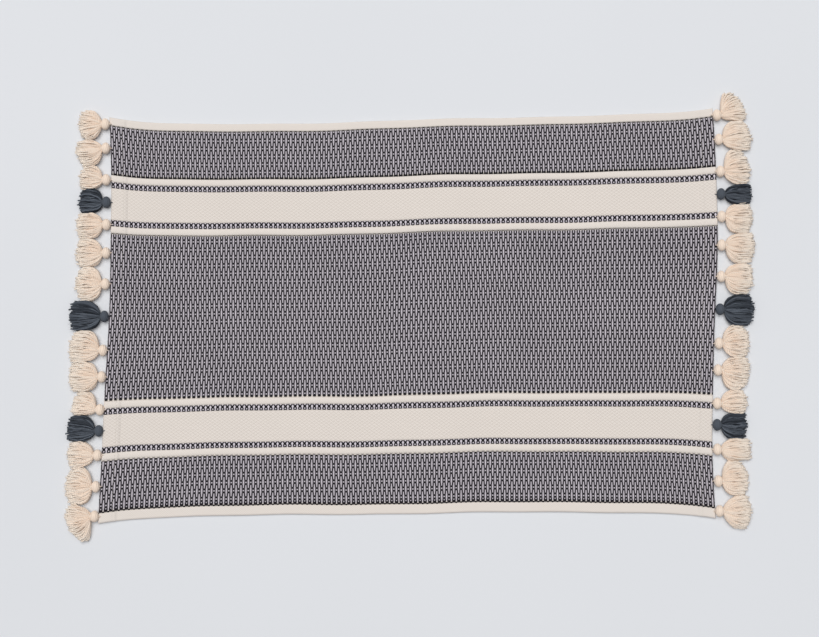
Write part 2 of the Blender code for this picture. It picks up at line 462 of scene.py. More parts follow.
def slab_points(band, front_edge, column, row):
    """The points of a band's top, and of its underside on a grid half as fine."""
    _, width, weave, _ = band
    u = column * COLUMN_PITCH - HALF_LENGTH
    v = front_edge + row
    relief = WEAVES[weave][2](column, row / MM, width / MM) * MM
    x, y = wandered(u, v)
    lift = swell(u, v)
    share = edge_share(u, v)
    top = cloth_top(u, v, band, front_edge)
    bottom = cloth_bottom(u, v, band, front_edge)
    middle = (top + bottom) / 2
    top_z = middle + (top + relief - middle) * share + lift
    bottom_z = middle - (middle - bottom - UNDER_RELIEF * np.abs(relief)) * share + lift
    return np.stack([x, y, top_z], axis=-1), np.stack([x, y, bottom_z], axis=-1)[::2, ::2]


def wall_faces(over_edge, under_edge):
    """Five-cornered faces between an edge of the top and the same edge of the underside."""
    corners = [under_edge[:-1], under_edge[1:], over_edge[2::2], over_edge[1::2], over_edge[:-2:2]]
    return np.stack(corners, axis=-1)


def slab_faces(over, under):
    """The faces of the top and the underside, and of the walls between them, as three groups."""
    front = wall_faces(over[:, 0], under[:, 0])
    back = wall_faces(over[:, -1], under[:, -1])[:, ::-1]
    left = wall_faces(over[0], under[0])[:, ::-1]
    right = wall_faces(over[-1], under[-1])
    return [quads_of(over), quads_of(under)[:, ::-1], np.concatenate([front, back, left, right])]


def slab_maps(faces, column, row, low, high):
    """The weave map (column, millimetres across the band) and the texture layout of a slab."""
    strips = max(1, int(math.sqrt(CLOTH_LENGTH / (STRIP_SPACE * (high - low)))))
    strip_length = CLOTH_LENGTH / strips
    used = 1 - 2 * STRIP_INSET
    strip_height = (high - low) / strip_length * used + STRIP_GAP
    columns = np.concatenate([column.ravel(), column[::2, ::2].ravel()])
    rows = np.concatenate([row.ravel(), row[::2, ::2].ravel()])
    weave_uv = []
    bake_uv = []
    for group, shift, first_strip in zip(faces, (0, UNDERSIDE, 0), (0, strips, 0)):
        face_columns = columns[group]
        face_rows = rows[group]
        weave_uv.append(np.stack([face_columns + shift, face_rows / MM], axis=-1))
        strip = np.floor(face_columns.mean(axis=1, keepdims=True) / COLUMNS * strips)
        strip = np.clip(strip, 0, strips - 1)
        across = face_columns * strips / COLUMNS - strip
        base = STRIP_START + (first_strip + strip) * strip_height
        up = (face_rows - low) / strip_length * used + base
        bake_uv.append(np.stack([STRIP_INSET + used * across, up], axis=-1))
    bake_uv[2][..., 1] -= np.where(faces[2] >= column.size, WALL_DROP, 0)
    return {"weave": weave_uv, "OFBake": bake_uv}


def build_band_piece(name, band, front_edge, low, high):
    """The part of a band between the distances low and high from its front edge, as a closed slab."""
    _, width, weave, _ = band
    column, row = slab_grid(low, high)
    top, bottom = slab_points(band, front_edge, column, row)
    over = np.arange(column.size).reshape(column.shape)
    under = over.size + np.arange(bottom[..., 0].size).reshape(bottom.shape[:2])
    faces = slab_faces(over, under)
    points = np.concatenate([top.reshape(-1, 3), bottom.reshape(-1, 3)])
    mesh = make_mesh(name, points, faces, slab_maps(faces, column, row, low, high))
    piece = add_piece(name, mesh, CLOTH_MATERIALS[weave](width / MM), WEAVES[weave][1])
    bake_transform(piece)
    return piece


def band_fronts():
    """Each band with the place of its front edge."""
    back_edge = HALF_WIDTH
    for band in BANDS:
        back_edge -= band[1]
        yield band, back_edge


def build_cloth():
    """All the bands; returns their pieces by band name."""
    pieces = {}
    for band, front_edge in band_fronts():
        name, width, _, parts = band
        pieces[name] = []
        for part in range(parts):
            piece_name = f"{name}_cloth" if parts == 1 else f"{name}_cloth_{part + 1}"
            low = width * part / parts
            high = width * (part + 1) / parts
            piece = build_band_piece(piece_name, band, front_edge, low, high)
            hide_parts(f"left_{name}", f"right_{name}")
            pieces[name].append(piece)
    return pieces


def declare_sheets(pieces):
    """Goes through every band but the braids, and does nothing with them."""
    for name, width, weave, parts in BANDS:
        if weave == "braid":
            continue
        for piece in pieces[name]:
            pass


# ---- hem stitches and tassel loops


def band_at(v):
    """The band that holds the distance v, and its front edge."""
    return next((band, front_edge) for band, front_edge in band_fronts() if v >= front_edge)


STITCH_LENGTH = 0.0024
STITCH_PITCH = 0.0049
STITCH_RADIUS = 0.00024
STITCH_INSET = 0.0195
STITCH_POINTS = 7
STITCH_SLANT = 0.0003
STITCH_ARCH = 0.00042
STITCH_SINK = 0.0003
FIRST_STITCH = 0.004
LAST_STITCH = 0.003


def stitch_path(side, v, top):
    """One stitch across the hem's line, sunk at both ends, on the top or the underside."""
    share = np.linspace(-1, 1, STITCH_POINTS)
    along_v = v + share * STITCH_LENGTH / 2
    u = side * (HALF_LENGTH - STITCH_INSET) + STITCH_SLANT * share
    band, front_edge = band_at(v)
    x, y = wandered(u, along_v)
    arch = STITCH_ARCH * (1 - share**4) - STITCH_SINK
    if top:
        z = cloth_top(u, along_v, band, front_edge) + arch
    else:
        z = cloth_bottom(u, along_v, band, front_edge) - arch
    height = np.maximum(z + swell(u, along_v), STITCH_RADIUS)
    return np.stack([x, y, height], axis=-1)


def build_tubes(name, paths, radii, sides, material, slot):
    """A piece of many tubes, each with its own cell in the texture."""
    points, groups, corners = tubes(np.asarray(paths), radii, sides)
    mesh = make_mesh(name, points, groups, strand_maps(corners, 0, len(radii)))
    return add_piece(name, mesh, material, slot)


def strand_maps(corners, first, cells):
    """The yarn map (strand number and millimetres along, share round) and the texture layout.

    first is the number of the first strand, and cells how many strands share the texture.
    """
    side = math.ceil(math.sqrt(cells))
    used = 1 - 2 * CELL_MARGIN
    strand_uv = []
    bake_uv = []
    longest = max(along.max() for _, along, _ in corners)
    for tube, along, around in corners:
        cell = tube + first
        strand_uv.append(np.stack([cell * STRAND_SHIFT_MM + along, around], axis=-1))
        bake_x = (cell % side + CELL_MARGIN + used * along / longest) / side
        bake_y = (cell // side + CELL_MARGIN + used * around) / side
        bake_uv.append(np.stack([bake_x, bake_y], axis=-1))
    return {"yarn": strand_uv, "OFBake": bake_uv}


def build_stitches(side):
    """The run of stitches that holds one hem, on the top and the underside."""
    places = np.arange(-HALF_WIDTH + FIRST_STITCH, HALF_WIDTH - LAST_STITCH, STITCH_PITCH)
    paths = [stitch_path(side, v, top) for top in (True, False) for v in places]
    radii = np.full((len(paths), STITCH_POINTS), STITCH_RADIUS)
    name = f"{SIDE_NAMES[side]}_hem_stitches"
    piece = build_tubes(name, paths, radii, 6, YARN_MATERIALS["thread"], "cream_twill")
    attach(piece, f"{SIDE_NAMES[side]}_half")


def tassel_hinge(side, number):
    """Where a tassel hinges on the hem's edge, in x and y."""
    v = TASSEL_PLACES[number] * HALF_WIDTH
    edge_x, hinge_y = laid(side * HALF_LENGTH, v)
    return edge_x + side * LOOP_REACH, hinge_y


def is_dark(number):
    return number % DARK_EVERY == DARK_EVERY - 1


LOOP_YARN_RADIUS = 0.00062
LOOP_MIDDLE_OUT = -0.0014
LOOP_MIDDLE_HEIGHT = 0.0046
LOOP_HALF_DEPTH = 0.0023
LOOP_HALF_HEIGHT = 0.0035
LOOP_SKEW = 0.0004


def build_loops(side, dark):
    """The loops of yarn through the hem's edge that hold the tassels of one colour."""
    turn = np.linspace(0, 2 * math.pi, 21)
    paths = []
    for number in range(len(TASSEL_PLACES)):
        if is_dark(number) != dark:
            continue
        hinge_x, hinge_y = tassel_hinge(side, number)
        out = LOOP_MIDDLE_OUT + LOOP_HALF_DEPTH * np.cos(turn)
        height = LOOP_MIDDLE_HEIGHT + LOOP_HALF_HEIGHT * np.sin(turn)
        sideways = LOOP_SKEW * np.sin(turn + number)
        paths.append(np.stack([hinge_x + side * out, hinge_y + sideways, height], axis=-1))
    radii = np.full((len(paths), len(turn)), LOOP_YARN_RADIUS)
    colour = "dark" if dark else "cream"
    name = f"{SIDE_NAMES[side]}_{colour}_loops"
    piece = build_tubes(name, paths, radii, 8, YARN_MATERIALS[colour], f"{colour}_tassel")
    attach(piece, f"{SIDE_NAMES[side]}_half")


# ---- tassels

SKIRT_STEPS = 13
STRAND_SIDES = 7
FAN_POWER = 3.2  # how soon a skirt reaches its full width
CORNER_FAN_POWER = 1.9
STRAND_RADIUS = 0.00108
STRAND_SPACING = 0.00136
NECK_HALF_THICKNESS = 0.0022
SKIRT_HALF_THICKNESS = 0.0047
TIP_HALF_THICKNESS = 0.0030
NECK_HEIGHT = 0.0062
FULL_FROM = 0.42  # the share of a skirt's length where it is at its thickest
THIN_FROM = 0.5
SINK_FROM = 0.35
LENGTH_NOISE = 0.035
SLOW_WANDER = 0.0018
QUICK_WANDER = 0.00055
UP_WANDER = 0.0007
HAIR_RADIUS = 0.00013
HEAD_OUT = 0.0066
HEAD_ACROSS = 0.0087
HEAD_UP = 0.0066
HEAD_STRANDS = 24
HEAD_STRAND_STEPS = 5
HEAD_RINGS = 17
HEAD_POLE = 0.03  # how near the ball's poles its first and last rings lie, in radians
HEAD_ARC_MM = 21
HEAD_TUCK = 0.0020  # how far the ball nestles in against the rounded hem
HEAD_PLACE = HEAD_GAP + HEAD_RADIUS - HEAD_TUCK
SKIRT_FROM_HEAD = 0.0058
TIE_FROM_HEAD = 0.0057
TIE_DEPTH = 0.0019
TIE_RADIUS = 0.00055

# Each layer of a skirt: its height (-1 lowest, 1 highest), how many strands fewer than the widest layer
# it has, and how much shorter they are.
SKIRT_LAYERS = ((0.95, 0, 0.0), (0.42, 1, 0.06), (-0.25, 4, 0.06), (-0.9, 1, 0.0))
LENGTHS_MM = {
    LEFT: (33.5, 37.5, 33.5, 34, 38, 38.5, 38, 44.5, 44, 42, 35.5, 40.5, 38, 39, 36),
    RIGHT: (36, 42, 38, 39, 39.5, 43, 40.5, 43.5, 39, 40.5, 37.5, 37.5, 43, 38, 40.5),
}


def strand_path(spot, lift, tip_y, half, length, fan_power, rng):
    """One strand: how far out from the hinge it lies, how far along the hem, and how high."""
    share = np.linspace(0, 1, SKIRT_STEPS)
    length = length * (1 + rng.normal(0, LENGTH_NOISE))
    least_out = rng.uniform(0.12, 0.50) * length
    tip_out = math.sqrt(max(length**2 - tip_y**2, least_out**2))
    slow_y, slow_z, quick_y, _ = rng.uniform(0, 2 * math.pi, 4)
    turn = 2 * math.pi * share
    wander_y = SLOW_WANDER * np.sin(turn * rng.uniform(0.6, 1.6) + slow_y)
    wander_y = wander_y + QUICK_WANDER * np.sin(turn * rng.uniform(3, 5) + quick_y)
    wander_z = UP_WANDER * np.sin(turn * rng.uniform(0.8, 1.7) + slow_z)
    loose = share * (1 - 0.3 * share)
    spread = 1 - (1 - share) ** fan_power
    y = 0.75 * NECK_RADIUS * spot * (1 - share) + tip_y * spread + loose * wander_y
    out = HEAD_PLACE + SKIRT_FROM_HEAD + tip_out * share ** (1 + 0.45 * abs(tip_y) / (half + 0.004))
    full = np.sin(math.pi / 2 * np.clip(share / FULL_FROM, 0, 1)) ** 0.9
    thinner = smooth((share - THIN_FROM) / (1 - THIN_FROM))
    half_up = NECK_HALF_THICKNESS + (SKIRT_HALF_THICKNESS - NECK_HALF_THICKNESS) * full
    half_up = half_up + (TIP_HALF_THICKNESS - SKIRT_HALF_THICKNESS) * thinner
    sunk = smooth((share - SINK_FROM) / (1 - SINK_FROM))
    middle = NECK_HEIGHT + (TIP_HALF_THICKNESS + STRAND_RADIUS - NECK_HEIGHT) * sunk
    return out, y, np.maximum(middle + lift * half_up + loose * wander_z, STRAND_RADIUS * 1.3)


def skirt_paths(side, number, rng):
    """The middle line and radii of every strand of one skirt, from the neck to the cut tips."""
    hinge_x, hinge_y = tassel_hinge(side, number)
    back_tip, front_tip = (share * HALF_WIDTH for share in PARTINGS[side][number : number + 2])
    half = (back_tip - front_tip) / 2
    shift = (back_tip + front_tip) / 2 - hinge_y
    most = round(2 * half / STRAND_SPACING)
    at_corner = number in (0, len(TASSEL_PLACES) - 1)
    fan_power = CORNER_FAN_POWER if at_corner else FAN_POWER
    paths = []
    for level, fewer, shorter in SKIRT_LAYERS:
        count = most - fewer
        length = LENGTHS_MM[side][number] * MM * (1 - shorter)
        for strand in range(count):
            spot = -1 + 2 * (strand + 0.5) / count + rng.normal(0, 0.35) / count
            spot = np.clip(spot, -0.97, 0.97)
            lift = level * math.sqrt(1 - 0.75 * spot**4) + rng.normal(0, 0.10)
            tip_y = shift + spot * (half - 0.001) + rng.normal(0, 0.0006)
            out, y, z = strand_path(spot, lift, tip_y, half, length, fan_power, rng)
            paths.append(np.stack([hinge_x + side * out, hinge_y + y, z], axis=-1))
    share = np.linspace(0, 1, SKIRT_STEPS)
    radii = STRAND_RADIUS * (0.45 + 0.55 * smooth(share / 0.22))
    radii = radii * (1 + 0.10 * rng.normal(0, 1, (len(paths), 1)).clip(-2, 2))
    radii = radii * (1 + 0.05 * np.sin(share * 40 + rng.uniform(0, 6, (len(paths), 1))))
    return np.array(paths), radii


def hair_paths(strands, rng):
    """Fine loose fibres that stand off the skirt's strands, two on each."""
    share = np.linspace(0, 1, 5)
    paths = []
    for strand in np.concatenate([strands, strands]):
        start = rng.integers(4, SKIRT_STEPS)
        forward = strand[start] - strand[start - 1]
        forward = forward / np.linalg.norm(forward)
        aside = rng.normal(0, 1, 3)
        aside[2] = abs(aside[2]) * 0.7
        aside = aside - forward * aside.dot(forward)
        aside = aside / np.linalg.norm(aside)
        length = rng.uniform(0.0022, 0.0050)
        root = strand[start] + aside * STRAND_RADIUS * 0.5
        bend = aside * rng.uniform(0.35, 0.8) + forward * rng.uniform(0.3, 1.0)
        curl = np.cross(forward, aside) * rng.uniform(-0.5, 0.5)
        path = root + length * (share[:, None] * bend + share[:, None] ** 2 * curl)
        path[:, 2] = np.maximum(path[:, 2], HAIR_RADIUS)
        paths.append(path)
    radii = np.full((len(paths), len(share)), HAIR_RADIUS) * (1 - 0.5 * share)
    return np.array(paths), radii


def head_mesh(side, number, rng):
    """The ball, wound from strands that run from the hem's side to the neck."""
    hinge_x, hinge_y = tassel_hinge(side, number)
    around = HEAD_STRANDS * HEAD_STRAND_STEPS
    latitude = np.linspace(HEAD_POLE, math.pi - HEAD_POLE, HEAD_RINGS)[:, None]
    longitude = (2 * math.pi * np.arange(around) / around)[None, :]
    turned = longitude + 0.35 * latitude + rng.uniform(0, 6)
    groove = np.abs(np.cos(HEAD_STRANDS / 2 * turned))
    bulge = 1 - 0.060 * (1 - groove) ** 1.3 * np.sin(latitude) ** 0.5
    bulge = bulge * (1 + 0.02 * np.sin(3 * longitude + rng.uniform(0, 6)) * np.sin(latitude))
    y = HEAD_ACROSS * np.sin(latitude) * np.cos(longitude) * bulge
    z = HEAD_RADIUS + HEAD_UP * np.sin(latitude) * np.sin(longitude) * bulge
    out = np.broadcast_to(HEAD_PLACE - HEAD_OUT * np.cos(latitude), y.shape)
    points = np.stack([hinge_x + side * out, hinge_y + y, z], axis=-1).reshape(-1, 3)
    grid = np.arange(HEAD_RINGS * around).reshape(HEAD_RINGS, around)
    closed = np.concatenate([grid, grid[:, :1]], axis=1)
    groups = [quads_of(closed), grid[:1, :], grid[-1:, ::-1]]
    along, share = head_corners(latitude, around)
    if side > 0:
        groups = [group[:, ::-1] for group in groups]
        along = along[:, ::-1]
        share = share[:, ::-1]
    corners = [(np.zeros_like(along), along, share)]
    for cap_along in (0.2, HEAD_ARC_MM - 0.2):
        cap_share = 0.5 + 0.01 * np.cos(longitude)
        corners.append((np.zeros((1, around)), np.full((1, around), cap_along), cap_share))
    return points, groups, corners


def head_corners(latitude, around):
    """The millimetres along and the share round of every face corner of a ball's wall."""
    along = latitude / math.pi * HEAD_ARC_MM * np.ones((1, around + 1))
    share = np.ones((HEAD_RINGS, 1)) * np.linspace(0, 1, around + 1)
    corners = quads_of(np.arange(along.size).reshape(along.shape))
    return along.ravel()[corners], share.ravel()[corners]


def tie_path(side, number, rng):
    """The yarn wound three times round the neck."""
    hinge_x, hinge_y = tassel_hinge(side, number)
    turn = np.linspace(0, 6 * math.pi, 49)
    start = rng.uniform(0, 6)
    out = HEAD_PLACE + TIE_FROM_HEAD + TIE_DEPTH * turn / turn[-1]
    radius = 0.0031 + 0.0003 * np.sin(turn * 0.7)
    y = radius * 1.12 * np.cos(turn + start)
    z = 0.0064 + radius * np.sin(turn + start)
    return np.stack([hinge_x + side * out, hinge_y + y, z], axis=-1)


def build_tassel(side, number):
    """One tassel: its bundle of yarn, with the ball and the skirt, and the tie round its neck."""
    rng = np.random.default_rng(1000 + 50 * side + number)
    body = f"{SIDE_NAMES[side]}_tassel_{number + 1:02d}"
    colour = "dark" if is_dark(number) else "cream"
    slot = f"{colour}_tassel"
    material = YARN_MATERIALS[colour]

    head = head_mesh(side, number, rng)
    strands, radii = skirt_paths(side, number, rng)
    hairs, hair_radii = hair_paths(strands, rng)
    bundle_parts = (
        (0, head),
        (1, tubes(strands, radii, STRAND_SIDES)),
        (1, tubes(hairs, hair_radii, 3)),
    )
    points = np.zeros((0, 3))
    groups = []
    maps = {"yarn": [], "OFBake": []}
    for first, (part_points, part_groups, part_corners) in bundle_parts:
        groups += [group + len(points) for group in part_groups]
        points = np.concatenate([points, part_points])
        for key, arrays in strand_maps(part_corners, first, len(strands) + 1).items():
            maps[key] += arrays
    bundle = add_piece(f"{body}_yarn", make_mesh(f"{body}_yarn", points, groups, maps), material, slot)
    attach(bundle, body)
    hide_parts(body)

    path = tie_path(side, number, rng)
    tie_radii = np.full((1, len(path)), TIE_RADIUS)
    tie = build_tubes(f"{body}_tie", [path], tie_radii, STRAND_SIDES, material, slot)
    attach(tie, body)


# ---- materials


class Nodes:
    """Short calls that build a node material round one Principled shader."""

    def __init__(self, name):
        self.material = bpy.data.materials.new(name)
        self.material.use_nodes = True
        self.tree = self.material.node_tree
        self.shader = self.tree.nodes["Principled BSDF"]

    def new(self, kind, **settings):
        node = self.tree.nodes.new(kind)
        for key, value in settings.items():
            setattr(node, key, value)
        return node

    def feed(self, socket, value):
        if isinstance(value, bpy.types.NodeSocket):
            self.tree.links.new(value, socket)
        elif socket.type == "VECTOR":
            socket.default_value = value[:3]
        else:
            socket.default_value = value

    def math(self, operation, a, b=0.0):
        node = self.new("ShaderNodeMath", operation=operation)
        self.feed(node.inputs[0], a)
        self.feed(node.inputs[1], b)
        return node.outputs[0]

    add = functools.partialmethod(math, "ADD")
    sub = functools.partialmethod(math, "SUBTRACT")
    mul = functools.partialmethod(math, "MULTIPLY")
    div = functools.partialmethod(math, "DIVIDE")
    low = functools.partialmethod(math, "MINIMUM")
    high = functools.partialmethod(math, "MAXIMUM")

    def hypot(self, a, b):
        return self.math("SQRT", self.add(self.mul(a, a), self.mul(b, b)))

    def ramp(self, value, start, end, to_start=0.0, to_end=1.0):
        """A smooth step from one value to another."""
        node = self.new("ShaderNodeMapRange", interpolation_type="SMOOTHSTEP")
        for socket, given in zip(node.inputs, (value, start, end, to_start, to_end)):
            self.feed(socket, given)
        return node.outputs[0]

    def mix(self, factor, a, b):
        node = self.new("ShaderNodeMix", data_type="RGBA")
        self.feed(node.inputs[0], factor)
        self.feed(node.inputs[6], a)
        self.feed(node.inputs[7], b)
        return node.outputs[2]

    def uv(self, name):
        split = self.new("ShaderNodeSeparateXYZ")
        self.feed(split.inputs[0], self.new("ShaderNodeUVMap", uv_map=name).outputs[0])
        return split.outputs[0], split.outputs[1]

    def vector(self, x, y, z=0.0):
        node = self.new("ShaderNodeCombineXYZ")
        for socket, value in zip(node.inputs, (x, y, z)):
            self.feed(socket, value)
        return node.outputs[0]

    def noise(self, vector, scale, detail):
        node = self.new("ShaderNodeTexNoise")
        self.feed(node.inputs["Vector"], vector)
        node.inputs["Scale"].default_value = scale
        node.inputs["Detail"].default_value = detail
        return node.outputs["Fac"]

    def bump(self, height, strength, distance):
        node = self.new("ShaderNodeBump")
        node.inputs["Strength"].default_value = strength
        node.inputs["Distance"].default_value = distance
        self.feed(node.inputs["Height"], height)
        self.feed(self.shader.inputs["Normal"], node.outputs[0])

    def brighten(self, colour, amount):
        """A colour times a grey amount near 1."""
        node = self.new("ShaderNodeVectorMath", operation="SCALE")
        self.feed(node.inputs[0], colour)
        self.feed(node.inputs["Scale"], amount)
        return node.outputs[0]

    def finish(self, colour, roughness, sheen):
        self.feed(self.shader.inputs["Base Color"], colour)
        self.shader.inputs["Roughness"].default_value = roughness
        self.shader.inputs["Sheen Weight"].default_value = sheen
        self.shader.inputs["Sheen Roughness"].default_value = SHEEN_ROUGHNESS
        self.shader.inputs["Specular IOR Level"].default_value = SPECULAR
        return self.material


CREAM = (0.820, 0.758, 0.706, 1)
# The next colour is painted shade, mixed into the low places of the cream weaves.
CREAM_PAINTED_SHADE = (0.670, 0.605, 0.550, 1)
SLUB = (0.86, 0.81, 0.74, 1)
LIGHT_YARN = (0.740, 0.690, 0.755, 1)
DARK_YARN = (0.008, 0.007, 0.010, 1)
CLOTH_ROUGHNESS = 0.9
YARN_ROUGHNESS = 0.92
SHEEN_ROUGHNESS = 0.5
SPECULAR = 0.25

# The fields: a dark line's solid core and outer edge in columns, a dot's in millimetres, and the light
# floats' brightness, with its painted light and shade that swings along them and its painted highlight
# between two dots.
LINE_CORE = 0.19
LINE_EDGE = 0.37
LINE_WOBBLE = 0.08
BACK_LOOP_FADE = 0.35
DOT_CORE_MM = 1.42
DOT_EDGE_MM = 1.92
FLOAT_LIGHT = 0.79
FLOAT_PAINTED_LIGHT_SWING = 0.20
BETWEEN_DOTS_PAINTED_HIGHLIGHT = 0.35


def weave_inputs(nodes):
    """Column, millimetres across, 1 on the underside, and a position in millimetres for noise."""
    column, row = nodes.uv("weave")
    under = nodes.math("GREATER_THAN", column, UNDERSIDE / 2)
    column = nodes.sub(column, nodes.mul(under, UNDERSIDE))
    place = nodes.vector(nodes.mul(column, COLUMN_MM), row, nodes.mul(under, 9.0))
    return column, row, under, place


def yarn_variation(nodes, place, depth):
    """A grey amount near 1: broad patches, and finer streaks from yarn to yarn."""
    broad = nodes.mul(nodes.sub(nodes.noise(place, 0.012, 3.0), 0.5), depth)
    fine = nodes.mul(nodes.sub(nodes.noise(place, 0.45, 2.0), 0.5), depth)
    return nodes.add(nodes.add(broad, fine), 1.0)


def field_lines(nodes, across, half_span, from_first, row, width_mm):
    """How dark the swinging lines are, and 1 outside the loops that close them at the edges."""
    _, front_flip, back_flip, boldness, _ = field_plan(width_mm)
    edge = nodes.sub(nodes.low(row, nodes.sub(width_mm, row)), LOOP_INSET_MM)
    at_back = nodes.math("GREATER_THAN", row, width_mm / 2)
    loop = nodes.add(nodes.mul(at_back, BACK_LOOP_MM - LOOP_MM), LOOP_MM)
    closing = nodes.sub(1.0, nodes.low(nodes.div(edge, loop), 1.0))
    flip = nodes.add(nodes.mul(at_back, back_flip - front_flip), front_flip)
    own_place = nodes.math("ABSOLUTE", nodes.sub(across, flip))
    own_span = nodes.math("ABSOLUTE", nodes.sub(half_span, flip))
    outline = nodes.hypot(nodes.div(own_place, own_span), closing)
    offset = nodes.mul(nodes.sub(outline, 1.0), own_span)
    closed = nodes.high(closing, 0.0)
    bold = nodes.mul(closed, nodes.sub(boldness, nodes.mul(at_back, boldness)))
    from_line = nodes.div(nodes.math("ABSOLUTE", offset), nodes.add(1.0, bold))
    line = nodes.ramp(from_line, LINE_CORE, LINE_EDGE, 1.0, 0.0)
    line = nodes.mul(line, nodes.sub(1.0, nodes.mul(closed, nodes.mul(at_back, BACK_LOOP_FADE))))
    if boldness < 0:
        line = nodes.mul(line, nodes.high(at_back, nodes.ramp(edge, -0.5, 0.7, 0.15, 1.0)))
    from_dots = nodes.math("PINGPONG", from_first, ROW_MM / 2)
    beside_dots = nodes.ramp(from_dots, 3.0, 4.8, 0.80, 1.0)
    line = nodes.mul(line, nodes.high(beside_dots, nodes.ramp(closing, 0.0, 0.3)))
    past_start = nodes.math("GREATER_THAN", closing, 0.02)
    return line, nodes.mul(past_start, nodes.math("GREATER_THAN", offset, 0.0))


def field_dots(nodes, across, from_first, row, width_mm):
    """How dark the black dots are, and the distance from the middle between two dots."""
    from_even = nodes.math("PINGPONG", from_first, ROW_MM)
    from_odd = nodes.sub(ROW_MM, from_even)
    to_odd = nodes.mul(nodes.sub(1.0, across), COLUMN_MM / DOT_STRETCH)
    to_even = nodes.mul(across, COLUMN_MM / DOT_STRETCH)
    odd_dot = nodes.hypot(to_odd, nodes.sub(from_even, DOT_OFFSET_MM))
    even_dot = nodes.hypot(to_even, nodes.sub(from_odd, DOT_OFFSET_MM))
    single_dot = nodes.hypot(to_odd, nodes.sub(row, field_plan(width_mm)[4]))
    dot = nodes.low(nodes.low(odd_dot, even_dot), single_dot)
    between = nodes.low(nodes.hypot(to_odd, from_even), nodes.hypot(to_even, from_odd))
    return nodes.ramp(dot, DOT_CORE_MM, DOT_EDGE_MM, 1.0, 0.0), between


def field_floats(nodes, across, half_span, swing, between_dots, place):
    """The light floats' colour, with painted light and shade: brighter where they are narrow and
    between two dots.
    """
    on_even = nodes.math("LESS_THAN", across, half_span)
    # Painted light and shade: a float is coloured brighter where it is narrow and darker where it is
    # wide, with a painted highlight between two dots.
    own_swing = nodes.mul(nodes.sub(nodes.mul(on_even, 2.0), 1.0), nodes.div(swing, LINE_SWING))
    amount = nodes.add(FLOAT_LIGHT, nodes.mul(own_swing, FLOAT_PAINTED_LIGHT_SWING))
    amount = nodes.add(amount, nodes.ramp(between_dots, 0.5, 1.3, BETWEEN_DOTS_PAINTED_HIGHLIGHT, 0.0))
    return nodes.brighten(LIGHT_YARN, nodes.mul(yarn_variation(nodes, place, 0.22), amount))


@functools.cache
def field_material(width_mm):
    """Light floats between dark yarns that swing left and right, with pairs of black dots."""
    nodes = Nodes(f"dark_field_{width_mm:.0f}")
    column, row, under, place = weave_inputs(nodes)
    across = nodes.math("PINGPONG", column, 1.0)
    from_first = nodes.sub(row, field_plan(width_mm)[0])
    swing = nodes.mul(nodes.math("COSINE", nodes.mul(from_first, math.pi / ROW_MM)), LINE_SWING)
    wobble = nodes.mul(nodes.sub(nodes.noise(place, 0.35, 1.0), 0.5), LINE_WOBBLE)
    half_span = nodes.add(nodes.sub(0.5, swing), wobble)
    lines, outside = field_lines(nodes, across, half_span, from_first, row, width_mm)
    dots, between_dots = field_dots(nodes, across, from_first, row, width_mm)
    dark = nodes.high(lines, dots)
    light = field_floats(nodes, across, half_span, swing, between_dots, place)
    light = nodes.mix(outside, light, CREAM)
    depth = nodes.add(0.6, nodes.mul(nodes.noise(place, 0.8, 2.0), 0.9))
    dark_colour = nodes.brighten(DARK_YARN, depth)
    over = nodes.mix(dark, light, dark_colour)
    reverse = nodes.mix(nodes.ramp(nodes.sub(1.0, dark), 0.2, 0.8), light, dark_colour)
    fibres = nodes.noise(nodes.vector(nodes.mul(column, COLUMN_MM * 2.2), row, under), 1.7, 3.0)
    ply = nodes.math("SINE", nodes.mul(nodes.add(row, nodes.mul(column, COLUMN_MM)), 3.6))
    yarns = nodes.add(nodes.mul(ply, 0.18), nodes.mul(dark, -0.8))
    nodes.bump(nodes.add(nodes.mul(fibres, 0.8), yarns), 0.55, 0.0004)
    return nodes.finish(nodes.mix(under, over, reverse), YARN_ROUGHNESS, 0.0)


@functools.cache
def braid_material(width_mm):
    """Dark yarns that cross, arch over to their neighbours and ring a small light oval."""
    nodes = Nodes("dark_braid")
    column, row, under, place = weave_inputs(nodes)
    aside = nodes.math("PINGPONG", nodes.add(nodes.mul(column, 0.5), 0.5), 0.5)
    aside = nodes.mul(aside, 2 * COLUMN_MM)
    share = nodes.div(row, width_mm)
    above = nodes.sub(row, CROSSING_MM)
    arms = nodes.sub(nodes.mul(aside, ARM_LEAN[0]), nodes.mul(above, ARM_LEAN[1]))
    arms = nodes.ramp(nodes.math("ABSOLUTE", arms), 0.90, 1.35, 1.0, 0.0)
    arms = nodes.mul(arms, nodes.ramp(above, -1.0, -0.4))
    arms = nodes.mul(arms, nodes.ramp(above, 1.6, 3.8, 1.0, 0.80))
    crossing = nodes.ramp(nodes.hypot(aside, above), 1.75, 2.25, 1.0, 0.0)
    from_ring = nodes.sub(row, RING_AT_MM)
    oval = nodes.hypot(nodes.div(aside, RING_MM[0]), nodes.div(from_ring, RING_MM[1]))
    ring = nodes.mul(nodes.math("ABSOLUTE", nodes.sub(oval, 1.0)), RING_MM[0])
    ring = nodes.ramp(ring, 0.80, 1.20, 0.96, 0.0)
    dark = nodes.high(nodes.high(arms, crossing), ring)
    variation = yarn_variation(nodes, place, 0.16)
    base = nodes.brighten(LIGHT_YARN, nodes.mul(variation, 0.95))
    low_edge = nodes.ramp(share, 0.08, 0.0)
    high_edge = nodes.ramp(share, 0.93, 1.0)
    base = nodes.mix(nodes.high(low_edge, high_edge), base, CREAM)
    over = nodes.mix(dark, base, DARK_YARN)
    reverse = nodes.mix(dark, DARK_YARN, base)
    fibres = nodes.noise(place, 2.0, 3.0)
    nodes.bump(nodes.add(fibres, nodes.mul(dark, 0.5)), 0.5, 0.0004)
    return nodes.finish(nodes.mix(under, over, reverse), CLOTH_ROUGHNESS, 0.0)


